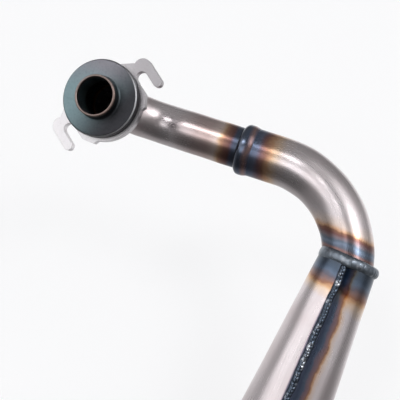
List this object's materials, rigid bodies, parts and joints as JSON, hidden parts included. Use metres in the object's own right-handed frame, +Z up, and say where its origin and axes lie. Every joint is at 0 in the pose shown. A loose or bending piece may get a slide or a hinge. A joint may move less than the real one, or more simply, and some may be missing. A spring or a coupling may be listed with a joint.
{
  "type": "scooter exhaust",
  "caption": "Two-stroke scooter exhaust: spigot and hooked flange plate, bent header, swept elbow, seam-welded expansion chamber, stinger and riveted silencer.",
  "frame": {"origin": "centre of the spigot ring's gasket face, on the port axis", "axes": "+Z up; +X along the header pipe, away from the spigot; the chamber and silencer run towards -Y"},
  "size_m": [0.281, 0.8182, 0.2061],
  "materials": {
    "raw_steel": "bare rolled and drawn steel with heat tints",
    "turned_steel": "turned, satin, blued by heat",
    "plate_steel": "satin plate, faintly speckled",
    "weld_steel": "rippled weld, dark blue-grey",
    "silencer_metal": "brushed",
    "rivet_metal": "smooth",
    "fastener_steel": "zinc plated",
    "glass_wool": "fibrous"
  },
  "bodies": {
    "root": {"spigot_ring": "turned_steel", "flange_plate": "plate_steel", "flange_weld": "weld_steel", "header_bend": "raw_steel", "header_pipe": "raw_steel", "header_collar": "weld_steel", "elbow": "raw_steel", "elbow_weld": "weld_steel", "cone_1": "raw_steel", "cone_1_seam": "weld_steel", "cone_joint_1": "weld_steel", "cone_2": "raw_steel", "cone_2_seam": "weld_steel", "cone_joint_2": "weld_steel", "cone_3": "raw_steel", "cone_3_seam": "weld_steel", "cone_joint_3": "weld_steel", "belly": "raw_steel", "belly_seam": "weld_steel", "belly_joint": "weld_steel", "baffle_cone": "raw_steel", "baffle_seam": "weld_steel", "stinger_weld": "weld_steel", "stinger": "raw_steel", "silencer_front_cap": "silencer_metal", "silencer_shell": "silencer_metal", "silencer_rear_cap": "silencer_metal", "silencer_core": "raw_steel", "silencer_packing": "glass_wool", "tail_pipe": "raw_steel", "inlet_weld": "weld_steel", "outlet_weld": "weld_steel", "silencer_rivets": "rivet_metal", "silencer_band": "fastener_steel", "band_bolt": "fastener_steel", "band_nut": "fastener_steel", "engine_bracket": "raw_steel", "bracket_welds": "weld_steel"}
  },
  "joints": []
}
